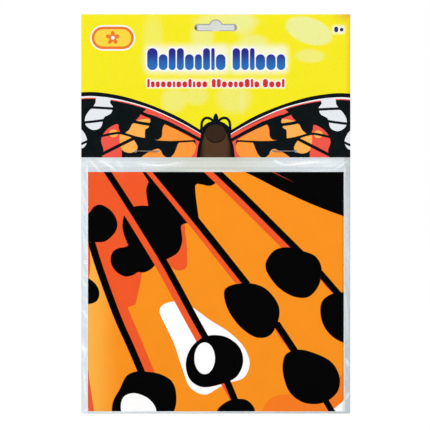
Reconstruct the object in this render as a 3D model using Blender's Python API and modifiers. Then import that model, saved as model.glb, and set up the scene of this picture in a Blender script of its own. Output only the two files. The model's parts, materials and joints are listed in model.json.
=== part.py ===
"""Dress-up butterfly wings in their shop pack: a folded header card stapled over a clear bag
that holds the wings, folded flat and wrapped round a stiffener board.

Run it with blender --background --python part.py or from Blender's text editor. Metres, +Z up,
+X to the right seen from the front, and the front faces -Y. The origin is the top of the card's
hang slot, where a display hook carries the pack, in the middle of the card's thickness.
"""

import math

import bmesh
import bpy
from mathutils import Matrix, Vector

MM = 0.001
GAP = 0.15 * MM  # between flat layers that lie on each other
JOINT_GAP = 0.3 * MM

# Header card: one sheet folded over the bag's mouth, printed outside.
CARD_WIDTH = 203.2 * MM
CARD_TOP = 3.9 * MM
CARD_BOTTOM = -104.2 * MM
CARD_THICK = 0.4 * MM
CARD_INSIDE = 0.45 * MM  # from the middle plane to the panels' inner faces
CARD_OUTSIDE = CARD_INSIDE + CARD_THICK

# Hang slot: a band with round ends and a round hump on top, through both panels and the film.
SLOT_LENGTH = 32.3 * MM
SLOT_HEIGHT = 5.4 * MM
SLOT_MIDDLE = -6.2 * MM
HUMP_RADIUS = 5.2 * MM
FILM_RIM = 0.4 * MM  # how far the film's slot stands inside the card's

# Staples: two wires driven from the front and clinched behind.
STAPLE_X = 51.9 * MM
STAPLE_Z = -99.5 * MM
STAPLE_SPAN = 17.3 * MM
STAPLE_WIRE = 0.65 * MM
STAPLE_HOLE = 1.0 * MM
STAPLE_BEND = 0.7 * MM
CLINCH_LENGTH = 6.2 * MM

# Clear bag. The film is thicker than a real 0.05 mm one.
FILM = 0.15 * MM
BAG_WIDTH = CARD_WIDTH
BAG_BOTTOM = -297.6 * MM
MOUTH_WIDTH = BAG_WIDTH - 0.6 * MM
MOUTH_TOP = 2.9 * MM
MOUTH_HALF = 0.3 * MM
WELD = 0.3 * MM
WELD_HALF = 0.02 * MM
HINGE_Z = CARD_BOTTOM - 0.4 * MM  # the film folds here, just under the card's edge
POUCH_TOP = HINGE_Z - 0.4 * MM
NECK_END = POUCH_TOP - 0.9 * MM  # the film stays flat down to here, then opens over the wings
NECK_OPEN = -111.9 * MM
BOTTOM_START = -295.95 * MM
BOTTOM_TURN = -296.95 * MM

# The folded wings. Each wing is three plies here, because its upper and lower thirds are folded
# behind its middle third. Both wings lie on each other and wrap round the board in thirds.
WING_LEFT = -96.6 * MM
WING_RIGHT = 96.8 * MM
WING_TOP = -115.2 * MM
WING_BOTTOM = -295.7 * MM
PLIES = 0.36 * MM
BOARD = 0.8 * MM
BOARD_WIDTH = 186 * MM
BOARD_HEIGHT = 174 * MM
SEAM_X = 78.0 * MM  # where the wings end and the body panel starts
BODY_TURN_X = 93.0 * MM
TIP_X = -92.5 * MM

STRAP = 0.45 * MM
STRAP_INSIDE = 0.1 * MM
STRAP_WIDTH = 12 * MM
STRAP_TOP = -140 * MM
STRAP_FOLD = -284 * MM
STRAP_X = {"left": 36 * MM, "right": 56 * MM}
FINGER = 0.3 * MM
FINGER_INSIDE = 0.05 * MM
FINGER_WIDTH = 6 * MM
FINGER_TOP = -150 * MM
FINGER_FOLD = -186 * MM
FINGER_X = {"left": -68 * MM, "right": -80 * MM}
LABEL = 0.12 * MM
LABEL_INSIDE = 0.1 * MM
LABEL_WIDTH = 20 * MM
LABEL_X = 10 * MM
LABEL_TOP = -240 * MM
LABEL_FOLD = -272 * MM

# Front to back: each layer's thickness, and the room behind it. The elastic shoulder straps lie
# between the two wings' inner flaps, and the finger loops between their outer flaps.
STRAP_ROOM = 2 * STRAP + STRAP_INSIDE + 2 * GAP
FINGER_ROOM = 2 * FINGER + FINGER_INSIDE + 2 * GAP
STACK = (
    ("right_front", PLIES, GAP),
    ("left_front", PLIES, GAP),
    ("board", BOARD, GAP),
    ("left_inner", PLIES, STRAP_ROOM),
    ("right_inner", PLIES, GAP),
    ("left_outer", PLIES, FINGER_ROOM),
    ("right_outer", PLIES, 0.0),
)
STACK_HALF = sum(thick + room for _, thick, room in STACK) / 2
POUCH_HALF = STACK_HALF + GAP + FILM  # to the bag's outer face

ARC_STEPS = 10


def layer_middles():
    """Each layer's middle, with the stack centred on the card's middle plane."""
    middles = {}
    y = -STACK_HALF
    for name, thick, room in STACK:
        middles[name] = y + thick / 2
        y += thick + room
    return middles


LAYER = layer_middles()


def clear_scene():
    for thing in list(bpy.data.objects):
        bpy.data.objects.remove(thing, do_unlink=True)


def new_collection(name):
    collection = bpy.data.collections.new(name)
    bpy.context.scene.collection.children.link(collection)
    return collection


def new_material(name, colour, roughness, metallic=0.0, alpha=1.0):
    material = bpy.data.materials.new(name)
    material.use_nodes = True
    shader = material.node_tree.nodes["Principled BSDF"]
    shader.inputs["Base Color"].default_value = (*colour, 1.0)
    shader.inputs["Roughness"].default_value = roughness
    shader.inputs["Metallic"].default_value = metallic
    shader.inputs["Alpha"].default_value = alpha
    return material


def new_object(name, bm, collection, material=None, smooth=False):
    """An object from a bmesh, which it frees, with its faces pointing out."""
    bmesh.ops.recalc_face_normals(bm, faces=bm.faces)
    mesh = bpy.data.meshes.new(name)
    bm.to_mesh(mesh)
    bm.free()
    if material:
        mesh.materials.append(material)
    if smooth:
        mesh.shade_smooth()
        mesh.set_sharp_from_angle(angle=math.radians(35))
    thing = bpy.data.objects.new(name, mesh)
    collection.objects.link(thing)
    return thing


def new_pivot(name, location, collection, parent=None):
    """An empty on a joint's axis, which carries the pieces that move together."""
    pivot = bpy.data.objects.new(name, None)
    pivot.empty_display_size = 0.02
    collection.objects.link(pivot)
    offset = Vector(location)
    if parent:
        pivot.parent = parent
        offset -= world_place(parent)
    pivot.location = offset
    return pivot


def world_place(thing):
    """Where an unrotated object's origin lies in the world."""
    place = Vector(thing.location)
    while thing.parent:
        thing = thing.parent
        place += thing.location
    return place


def carry(things, pivot):
    """Parents things to a pivot, with their origins on it and their shapes where they are."""
    for thing in things:
        thing.data.transform(Matrix.Translation(-world_place(pivot)))
        thing.parent = pivot


def arc(centre, radius, start, end, steps=ARC_STEPS):
    """Points along an arc in a plane, from start to end in degrees."""
    turns = [math.radians(start + (end - start) * i / steps) for i in range(steps + 1)]
    return [(centre[0] + radius * math.cos(t), centre[1] + radius * math.sin(t)) for t in turns]


def ribbon(name, path, across, along, thickness, collection, material):
    """A sheet of one thickness that follows a path and runs straight across it.

    The path holds (y, z) points where the sheet runs along X, and (x, y) points along Z.
    """
    bm = bmesh.new()
    rows = []
    for a, b in path:
        ends = [(s, a, b) if along == "X" else (a, b, s) for s in across]
        rows.append([bm.verts.new(end) for end in ends])
    for (a, b), (c, d) in zip(rows, rows[1:]):
        bm.faces.new((a, b, d, c))
    sheet = new_object(name, bm, collection, material, smooth=True)
    solidify = sheet.modifiers.new("thickness", "SOLIDIFY")
    solidify.thickness = thickness
    solidify.offset = 0
    solidify.use_even_offset = True
    return sheet


def solid_outline(name, outline, depth, collection):
    """A mesh from an outline of (x, z) points, depth thick about the middle plane."""
    curve = bpy.data.curves.new(name, "CURVE")
    curve.dimensions = "2D"
    curve.fill_mode = "BOTH"
    curve.extrude = depth / 2
    spline = curve.splines.new("POLY")
    spline.points.add(len(outline) - 1)
    for point, (x, z) in zip(spline.points, outline):
        point.co = (x, z, 0, 1)
    spline.use_cyclic_u = True
    return curve_to_mesh(name, curve, Matrix.Rotation(math.pi / 2, 4, "X"), collection)


def curve_to_mesh(name, curve, place, collection, material=None):
    """A closed mesh object from a curve, which it removes."""
    holder = bpy.data.objects.new(name, curve)
    collection.objects.link(holder)
    graph = bpy.context.evaluated_depsgraph_get()
    mesh = bpy.data.meshes.new_from_object(holder.evaluated_get(graph))
    bpy.data.objects.remove(holder)
    bm = bmesh.new()
    bm.from_mesh(mesh)
    bpy.data.meshes.remove(mesh)
    bmesh.ops.remove_doubles(bm, verts=bm.verts, dist=0.001 * MM)
    bmesh.ops.transform(bm, matrix=place, verts=bm.verts)
    return new_object(name, bm, collection, material, smooth=material is not None)


def slot_outline(inset):
    """The hang slot's outline, drawn in by inset all round."""
    half_height = SLOT_HEIGHT / 2 - inset
    end = SLOT_LENGTH / 2 - SLOT_HEIGHT / 2
    hump = HUMP_RADIUS - inset
    shoulder = math.degrees(math.asin((SLOT_MIDDLE + half_height + HUMP_RADIUS) / hump))
    return (
        arc((end, SLOT_MIDDLE), half_height, -90, 90)
        + arc((0, -HUMP_RADIUS), hump, shoulder, 180 - shoulder, 16)
        + arc((-end, SLOT_MIDDLE), half_height, 90, 270)
    )


def staple_leg_xs():
    half = STAPLE_SPAN / 2
    return [middle + reach for middle in (-STAPLE_X, STAPLE_X) for reach in (-half, half)]


def holes_cutter(name, inset, cutters):
    """The hang slot, drawn in by inset, and the four staple holes, as one cutter."""
    depth = 6 * CARD_OUTSIDE
    cutter = solid_outline(name, slot_outline(inset), depth, cutters)
    bm = bmesh.new()
    bm.from_mesh(cutter.data)
    through = Matrix.Rotation(math.pi / 2, 4, "X")
    for x in staple_leg_xs():
        bmesh.ops.create_cone(
            bm,
            cap_ends=True,
            segments=12,
            radius1=STAPLE_HOLE / 2,
            radius2=STAPLE_HOLE / 2,
            depth=depth,
            matrix=Matrix.Translation((x, 0, STAPLE_Z)) @ through,
        )
    bm.to_mesh(cutter.data)
    bm.free()
    cutter.hide_render = True
    cutter.display_type = "WIRE"
    return cutter


def cut(thing, cutter):
    boolean = thing.modifiers.new(cutter.name, "BOOLEAN")
    boolean.operation = "DIFFERENCE"
    boolean.object = cutter


def ring_of(half_width, corner, half_depth, edge):
    """The eight corners of a flat bag's section: straight faces that slope to thin side welds."""
    front = [(-half_width, -edge), (-corner, -half_depth), (corner, -half_depth)]
    front.append((half_width, -edge))
    back = [(x, -y) for x, y in reversed(front)]
    return front + back


def loft(bm, rings):
    """Joins rings of (x, y) points at their heights, and returns the rings' vertices."""
    made = [[bm.verts.new((x, y, z)) for x, y in ring] for z, ring in rings]
    for lower, upper in zip(made, made[1:]):
        for i in range(len(lower)):
            j = (i + 1) % len(lower)
            bm.faces.new((lower[i], lower[j], upper[j], upper[i]))
    return made


def close_rim(bm, outer, inner):
    for i in range(len(outer)):
        j = (i + 1) % len(outer)
        bm.faces.new((outer[i], outer[j], inner[j], inner[i]))


def header_card(parts, cutters):
    """The card's two panels and its rounded fold, as one ribbon along X, then its holes."""
    middle = CARD_INSIDE + CARD_THICK / 2
    fold = arc((0, CARD_TOP - CARD_OUTSIDE), middle, 180, 0)
    path = [(-middle, CARD_BOTTOM), *fold, (middle, CARD_BOTTOM)]
    across = (-CARD_WIDTH / 2, CARD_WIDTH / 2)
    printed = new_material("printed_card", (0.9, 0.82, 0.05), 0.25)
    card = ribbon("header_card", path, across, "X", CARD_THICK, parts, printed)
    cut(card, holes_cutter("card_holes", 0, cutters))
    return card


def bag_mouth(parts, cutters, film):
    """The bag's upper end, flat between the card's panels: a sleeve that both ends leave open."""
    corner = MOUTH_WIDTH / 2 - 2 * MM
    outer = ring_of(MOUTH_WIDTH / 2, corner, MOUTH_HALF, FILM)
    inner = ring_of(MOUTH_WIDTH / 2 - WELD, corner, MOUTH_HALF - FILM, WELD_HALF)
    bm = bmesh.new()
    ends = (CARD_BOTTOM, MOUTH_TOP)
    outside = loft(bm, [(z, outer) for z in ends])
    inside = loft(bm, [(z, inner) for z in ends])
    close_rim(bm, outside[0], inside[0])
    close_rim(bm, outside[1], inside[1])
    mouth = new_object("bag_mouth", bm, parts, film)
    cut(mouth, holes_cutter("film_holes", FILM_RIM, cutters))
    return mouth


def staple_path():
    """A clinched staple seen from above, as (x, y) points from one tip to the other."""
    half = STAPLE_SPAN / 2
    reach = CARD_OUTSIDE + GAP + STAPLE_WIRE / 2
    bend = STAPLE_BEND
    right = [
        *arc((half - bend, -reach + bend), bend, -90, 0, 5),
        *arc((half - bend, reach - bend), bend, 0, 90, 5),
        (half - CLINCH_LENGTH / 2, reach),
        (half - CLINCH_LENGTH, reach + 0.1 * MM),
    ]
    left = [(-x, y) for x, y in reversed(right)]
    return left + right


def staple(side, middle, parts, steel):
    name = f"staple_{side}"
    curve = bpy.data.curves.new(name, "CURVE")
    curve.dimensions = "3D"
    curve.bevel_depth = STAPLE_WIRE / 2
    curve.bevel_resolution = 2
    curve.use_fill_caps = True
    spline = curve.splines.new("POLY")
    path = staple_path()
    spline.points.add(len(path) - 1)
    for point, (x, y) in zip(spline.points, path):
        point.co = (x, y, 0, 1)
    place = Matrix.Translation((middle, 0, STAPLE_Z))
    return curve_to_mesh(name, curve, place, parts, steel)


def bag_pouch(parts, film):
    """The bag below the card: open at the top, opening out over the wings, closed at the foot."""
    half_width = BAG_WIDTH / 2
    corner = WING_RIGHT - 0.4 * MM
    profile = (
        (POUCH_TOP, MOUTH_HALF),
        (NECK_END, MOUTH_HALF),
        (NECK_OPEN, POUCH_HALF),
        (BOTTOM_START, POUCH_HALF),
        (BOTTOM_TURN, 0.7 * POUCH_HALF),
        (BAG_BOTTOM, FILM),
    )
    outer = [(z, ring_of(half_width, corner, depth, FILM)) for z, depth in profile]
    inner = [
        (max(z, BAG_BOTTOM + FILM), ring_of(half_width - WELD, corner, depth, WELD_HALF))
        for z, depth in ((z, max(depth - FILM, WELD_HALF)) for z, depth in profile)
    ]
    bm = bmesh.new()
    outside = loft(bm, outer)
    inside = loft(bm, inner)
    close_rim(bm, outside[0], inside[0])
    bm.faces.new(outside[-1])
    bm.faces.new(inside[-1])
    return new_object("bag_pouch", bm, parts, film)


def wing(side, extra, parts, printed):
    """One wing, wrapped: its front third, the inner flap on the left turn, the outer on the right.

    extra is how far inside the other wing's left and right turns this one's lie.
    """
    front = LAYER[f"{side}_front"]
    inner = LAYER[f"{side}_inner"]
    outer = LAYER[f"{side}_outer"]
    half = PLIES / 2
    left_radius = (inner - front) / 2
    right_radius = (outer - front) / 2
    left_middle = (WING_LEFT + half + extra[0] + left_radius, (inner + front) / 2)
    right_middle = (WING_RIGHT - half - extra[1] - right_radius, (outer + front) / 2)
    path = [
        (SEAM_X, inner),
        *arc(left_middle, left_radius, 90, 270),
        *arc(right_middle, right_radius, -90, 90),
        (TIP_X, outer),
    ]
    across = (WING_BOTTOM, WING_TOP)
    return ribbon(f"{side}_wing", path, across, "Z", PLIES, parts, printed)


def both_wings(parts):
    printed = new_material("printed_fabric", (0.94, 0.3, 0.012), 0.6)
    spread = [
        ((LAYER[f"right_{flap}"] - LAYER["right_front"]) / 2)
        - ((LAYER[f"left_{flap}"] - LAYER["left_front"]) / 2)
        for flap in ("inner", "outer")
    ]
    return [wing("right", (0, 0), parts, printed), wing("left", spread, parts, printed)]


def body_panel(parts):
    """The brown body strip along the wings' centre seam, folded on itself with them."""
    front = LAYER["left_inner"]
    back = LAYER["right_inner"]
    radius = (back - front) / 2
    turn = arc((BODY_TURN_X - radius, (front + back) / 2), radius, -90, 90)
    start = SEAM_X + JOINT_GAP
    path = [(start, front), *turn, (start, back)]
    brown = new_material("body_fabric", (0.08, 0.035, 0.018), 0.7)
    return ribbon("body_panel", path, (WING_BOTTOM, WING_TOP), "Z", PLIES, parts, brown)


def insert_board(parts):
    bm = bmesh.new()
    size = Matrix.Diagonal((BOARD_WIDTH, BOARD, BOARD_HEIGHT, 1))
    middle = (0, LAYER["board"], (WING_TOP + WING_BOTTOM) / 2)
    bmesh.ops.create_cube(bm, size=1, matrix=Matrix.Translation(middle) @ size)
    grey = new_material("grey_board", (0.55, 0.53, 0.5), 0.85)
    return new_object("insert_board", bm, parts, grey)


def hairpin(name, middle, heights, width, thick, inside, parts, material):
    """A flat band folded on itself, hanging between two layers with its fold at the bottom."""
    x, y = middle
    top, fold = heights
    radius = (thick + inside) / 2
    turn = arc((y, fold + radius), radius, 180, 360, 6)
    path = [(y - radius, top), *turn, (y + radius, top)]
    across = (x - width / 2, x + width / 2)
    return ribbon(name, path, across, "X", thick, parts, material)


def bands(parts):
    """The shoulder straps, the finger loops and the care label, all between the wings' flaps."""
    elastic = new_material("elastic", (0.02, 0.02, 0.02), 0.75)
    satin = new_material("label_satin", (0.85, 0.85, 0.83), 0.4)
    strap_y = (LAYER["left_inner"] + LAYER["right_inner"]) / 2
    loop_y = (LAYER["left_outer"] + LAYER["right_outer"]) / 2
    made = []
    for side in ("left", "right"):
        middle = (STRAP_X[side], strap_y)
        span = (STRAP_TOP, STRAP_FOLD)
        name = f"shoulder_strap_{side}"
        made.append(
            hairpin(name, middle, span, STRAP_WIDTH, STRAP, STRAP_INSIDE, parts, elastic)
        )
        middle = (FINGER_X[side], loop_y)
        span = (FINGER_TOP, FINGER_FOLD)
        name = f"finger_loop_{side}"
        made.append(
            hairpin(name, middle, span, FINGER_WIDTH, FINGER, FINGER_INSIDE, parts, elastic)
        )
    span = (LABEL_TOP, LABEL_FOLD)
    middle = (LABEL_X, strap_y)
    label = hairpin("care_label", middle, span, LABEL_WIDTH, LABEL, LABEL_INSIDE, parts, satin)
    return [*made, label]


def build():
    clear_scene()
    parts = new_collection("packed_wings")
    cutters = new_collection("cutters")
    film = new_material("clear_film", (0.9, 0.93, 0.95), 0.1, alpha=0.25)
    steel = new_material("staple_steel", (0.6, 0.6, 0.62), 0.3, metallic=1.0)

    header = new_pivot("header_pivot", (0, 0, 0), parts)
    neck = new_pivot("neck_hinge", (0, 0, HINGE_Z), parts, header)
    slide = new_pivot("wings_slide", (0, 0, WING_BOTTOM), parts, neck)

    carry([header_card(parts, cutters), bag_mouth(parts, cutters, film)], header)
    carry([staple("left", -STAPLE_X, parts, steel), staple("right", STAPLE_X, parts, steel)], header)
    carry([bag_pouch(parts, film)], neck)
    carry([*both_wings(parts), body_panel(parts), insert_board(parts), *bands(parts)], slide)


build()
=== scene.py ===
"""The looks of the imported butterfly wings: a printed header card stapled over a clear film bag,
with the wings folded flat inside it.

The frame is in metres: +X to the right seen from the front, +Z up, the front faces -Y. The origin
is the top of the hang slot. Print is cut into the sheets as outlines, so that every colour is its
own faces. Outlines are in millimetres.
"""

import json
import math

import bmesh
import bpy
import numpy as np
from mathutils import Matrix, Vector
from mathutils.geometry import delaunay_2d_cdt


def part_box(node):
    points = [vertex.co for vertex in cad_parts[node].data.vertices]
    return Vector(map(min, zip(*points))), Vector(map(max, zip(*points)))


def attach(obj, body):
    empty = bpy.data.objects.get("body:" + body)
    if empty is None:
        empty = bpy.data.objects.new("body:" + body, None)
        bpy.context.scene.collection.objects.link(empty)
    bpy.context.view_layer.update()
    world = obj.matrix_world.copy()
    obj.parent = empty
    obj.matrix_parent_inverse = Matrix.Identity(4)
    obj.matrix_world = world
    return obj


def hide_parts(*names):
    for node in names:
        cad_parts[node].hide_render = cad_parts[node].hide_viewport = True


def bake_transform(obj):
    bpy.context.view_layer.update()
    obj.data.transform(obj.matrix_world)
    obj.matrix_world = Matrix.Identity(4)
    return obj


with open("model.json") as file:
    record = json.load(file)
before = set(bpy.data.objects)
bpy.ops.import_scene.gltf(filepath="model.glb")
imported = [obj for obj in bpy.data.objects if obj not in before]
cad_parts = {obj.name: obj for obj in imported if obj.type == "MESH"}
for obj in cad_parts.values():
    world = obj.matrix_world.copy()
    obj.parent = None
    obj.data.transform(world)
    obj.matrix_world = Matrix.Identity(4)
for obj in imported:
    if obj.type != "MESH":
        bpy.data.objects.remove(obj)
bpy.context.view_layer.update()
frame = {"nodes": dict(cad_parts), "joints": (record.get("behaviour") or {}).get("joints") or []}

MM = 0.001


def box_mm(node):
    """A CAD node's lowest and highest corner, in millimetres."""
    return [np.array(corner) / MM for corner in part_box(node)]


CARD_LOW, CARD_HIGH = box_mm("header_card")
BAG_LOW, BAG_HIGH = box_mm("bag_pouch")
RIGHT_LOW, RIGHT_HIGH = box_mm("right_wing")
LEFT_LOW, LEFT_HIGH = box_mm("left_wing")
BODY_LOW, BODY_HIGH = box_mm("body_panel")
STAPLE_LOW, STAPLE_HIGH = box_mm("staple_right")

# The card, its slot and the staples, at the CAD's sizes. The staple hole is given by its radius.
CARD_THICK = 0.4
SLOT_LENGTH = 32.3
SLOT_HEIGHT = 5.4
SLOT_END = (SLOT_LENGTH - SLOT_HEIGHT) / 2
SLOT_MIDDLE = -6.2
HUMP_RADIUS = 5.2
STAPLE_WIRE = 0.65
STAPLE_HOLE = 0.5
STAPLE_MIDDLE = (STAPLE_LOW[0] + STAPLE_HIGH[0]) / 2
STAPLE_REACH = (STAPLE_HIGH[0] - STAPLE_LOW[0] - STAPLE_WIRE) / 2
STAPLE_Z = (STAPLE_LOW[2] + STAPLE_HIGH[2]) / 2
STAPLE_LEGS = [side * STAPLE_MIDDLE + leg * STAPLE_REACH for side in (-1, 1) for leg in (-1, 1)]

# The wrapped wings. A wing layer is three plies of cloth.
PLY = 0.12
LAYER = 3 * PLY
PANEL_HEIGHT = RIGHT_HIGH[2] - RIGHT_LOW[2]
SEAM_X = BODY_LOW[0] - 0.3
TIP_X = -92.5
SEAM_STEPS = 24
FOLD_POINTS = 25

HINGE_Z = frame["joints"][0]["pos_m"][2] / MM
FLOOR_Z = -0.36


# --- Flat outlines -------------------------------------------------------------------------


def smooth_run(points, closed=False, step=1.0):
    """A smooth curve through the points: a centripetal Catmull-Rom spline."""
    p = [np.array(q, float) for q in points]
    if closed:
        p = [p[-1], *p, p[0], p[1]]
    else:
        p = [2 * p[0] - p[1], *p, 2 * p[-1] - p[-2]]
    out = []
    for a, b, c, d in zip(p, p[1:], p[2:], p[3:]):
        t1 = np.linalg.norm(b - a) ** 0.5
        t2 = t1 + np.linalg.norm(c - b) ** 0.5
        t3 = t2 + np.linalg.norm(d - c) ** 0.5
        count = max(2, int(np.linalg.norm(c - b) / step))
        t = np.linspace(t1, t2, count, endpoint=False)[:, None]
        ab = (t1 - t) / t1 * a + t / t1 * b
        bc = (t2 - t) / (t2 - t1) * b + (t - t1) / (t2 - t1) * c
        cd = (t3 - t) / (t3 - t2) * c + (t - t2) / (t3 - t2) * d
        abc = (t2 - t) / t2 * ab + t / t2 * bc
        bcd = (t3 - t) / (t3 - t1) * bc + (t - t1) / (t3 - t1) * cd
        out.extend((t2 - t) / (t2 - t1) * abc + (t - t1) / (t2 - t1) * bcd)
    if not closed:
        out.append(p[-2])
    return out


def blob(*points):
    return np.array(smooth_run(points, closed=True))


def outline(*runs):
    """A closed outline of runs that meet at corners. A run of three or more points is a curve."""
    out = []
    for run in runs:
        out.extend(smooth_run(run) if len(run) > 2 else run)
    return np.array(out, float)


def band(points, left, right):
    """A stripe along a curve, from left to right of it along x."""
    line = np.array(smooth_run(points, step=2.0) if len(points) > 2 else points, float)
    return np.concatenate([line + (left, 0), line[::-1] + (right, 0)])


def stroke(points, width):
    """A stripe of one width along a curve, measured square to it."""
    line = np.array(smooth_run(points), float)
    along = np.gradient(line, axis=0)
    along /= np.linalg.norm(along, axis=1)[:, None]
    side = along[:, ::-1] * (-1, 1) * width / 2
    return np.concatenate([line + side, (line - side)[::-1]])


def ellipse(x, y, across, up, turn=0, start=0, end=360, count=36):
    """An ellipse, or a part of one, by its middle, half sizes and turn in degrees."""
    t = np.radians(np.linspace(start, end, count, endpoint=end - start < 360))
    c, s = math.cos(math.radians(turn)), math.sin(math.radians(turn))
    a, b = across * np.cos(t), up * np.sin(t)
    return np.stack([x + a * c - b * s, y + a * s + b * c], 1)


def pill(left, right, low, high, radius=None):
    """A rounded bar."""
    r = min(right - left, high - low) / 2 if radius is None else radius
    corners = ((right - r, high - r, 0), (left + r, high - r, 90))
    corners += ((left + r, low + r, 180), (right - r, low + r, 270))
    return np.concatenate([ellipse(x, y, r, r, 0, a, a + 90, 8) for x, y, a in corners])


def mirrored(shape):
    return shape * (-1, 1)


def inside(points, shape):
    """Which of the points lie in a closed outline."""
    x, y = points[:, 0], points[:, 1]
    hit = np.zeros(len(points), bool)
    low, high = shape.min(0), shape.max(0)
    near = ((points >= low) & (points <= high)).all(1)
    x, y = x[near], y[near]
    found = hit[near]
    for (ax, ay), (bx, by) in zip(shape, np.roll(shape, -1, 0)):
        if ay != by:
            spans = (ay > y) != (by > y)
            found ^= spans & (x < (bx - ax) * (y - ay) / (by - ay) + ax)
    hit[near] = found
    return hit


def in_any(points, shapes):
    """Which of the points lie in at least one of the outlines."""
    hit = np.zeros(len(points), bool)
    for shape in shapes:
        hit |= inside(points, shape)
    return hit


def rectangle(low, high):
    return np.array([low, (high[0], low[1]), high, (low[0], high[1])], float)


def even(start, end, spacing):
    return np.linspace(start, end, max(2, round((end - start) / spacing) + 1))


def grid(xs, ys):
    """A grid's (x, y) points, and the pairs of them that its lines join."""
    numbers = np.arange(len(xs) * len(ys)).reshape(len(xs), len(ys))
    pairs = [numbers[:-1].ravel(), numbers[1:].ravel()], [numbers[:, :-1].ravel(), numbers[:, 1:].ravel()]
    points = np.stack(np.meshgrid(xs, ys, indexing="ij"), 2).reshape(-1, 2)
    return points, np.concatenate([np.stack(pair, 1) for pair in pairs])


def cut_flat(low, high, grids, shapes):
    """A flat rectangle cut along the grids' lines and the shapes' outlines.

    Returns its (x, y) vertices and its triangles, which turn the same way.
    """
    points, edges = [], []
    for xs, ys in grids:
        grid_points, grid_edges = grid(xs, ys)
        edges.extend((grid_edges + len(points)).tolist())
        points.extend(map(Vector, grid_points.tolist()))
    for shape in shapes:
        numbers = np.arange(len(points), len(points) + len(shape))
        edges.extend(zip(numbers.tolist(), np.roll(numbers, -1).tolist()))
        points.extend(map(Vector, shape.tolist()))
    verts, _, faces, *_ = delaunay_2d_cdt(points, edges, [], 0, 1e-4, False)
    verts = np.array([v[:] for v in verts])
    faces = np.array(faces)
    middles = verts[faces].mean(1)
    return verts, faces[((middles > low) & (middles < high)).all(1)]


def mesh_object(name, points, faces, materials=(), indices=None, weld=0.0):
    """An object from points in millimetres, without the points that no face uses."""
    used, renumbered = np.unique(np.array(faces).ravel(), return_inverse=True)
    faces = renumbered.reshape(np.array(faces).shape)
    mesh = bpy.data.meshes.new(name)
    mesh.from_pydata((np.array(points)[used] * MM).tolist(), [], faces.tolist())
    for material in materials:
        mesh.materials.append(material)
    if indices is not None:
        mesh.polygons.foreach_set("material_index", indices)
    if weld:
        bm = bmesh.new()
        bm.from_mesh(mesh)
        bmesh.ops.remove_doubles(bm, verts=bm.verts, dist=weld * MM)
        bm.to_mesh(mesh)
        bm.free()
    thing = bpy.data.objects.new(name, mesh)
    bpy.context.scene.collection.objects.link(thing)
    smooth(thing)
    return thing


def smooth(thing):
    thing.data.shade_smooth()
    thing.data.set_sharp_from_angle(angle=math.radians(40))


def thicken(thing, thickness, inner):
    """Gives a sheet its thickness inwards, with one material inside and on its edges."""
    thing.data.materials.append(inner)
    solidify = thing.modifiers.new("thickness", "SOLIDIFY")
    solidify.thickness = thickness * MM
    solidify.offset = -1
    solidify.material_offset = solidify.material_offset_rim = len(thing.data.materials)
    solid = thing.evaluated_get(bpy.context.evaluated_depsgraph_get())
    thing.data = bpy.data.meshes.new_from_object(solid)
    thing.modifiers.clear()
    smooth(thing)


def printed_sheet(name, low, high, grids, print_list, holes, place, inks):
    """A sheet with its print cut in: print_list holds (ink, outline), later ones on top."""
    shapes = [shape for _, shape in print_list] + list(holes)
    verts, faces = cut_flat(low, high, grids, shapes)
    middles = verts[faces].mean(1)
    names = list(dict.fromkeys(ink for ink, _ in print_list))
    index = np.zeros(len(faces), np.int32)
    for ink, shape in print_list:
        index[inside(middles, shape)] = names.index(ink)
    kept = ~in_any(middles, holes)
    materials = [inks[ink] for ink in names]
    return mesh_object(name, place(verts), faces[kept], materials, index[kept])


# --- Materials -----------------------------------------------------------------------------


def linear(red, green, blue):
    """A screen colour of 0 to 255 as a linear one."""
    return tuple(
        c / 255 / 12.92 if c <= 10.31475 else ((c / 255 + 0.055) / 1.055) ** 2.4
        for c in (red, green, blue)
    )


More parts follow.
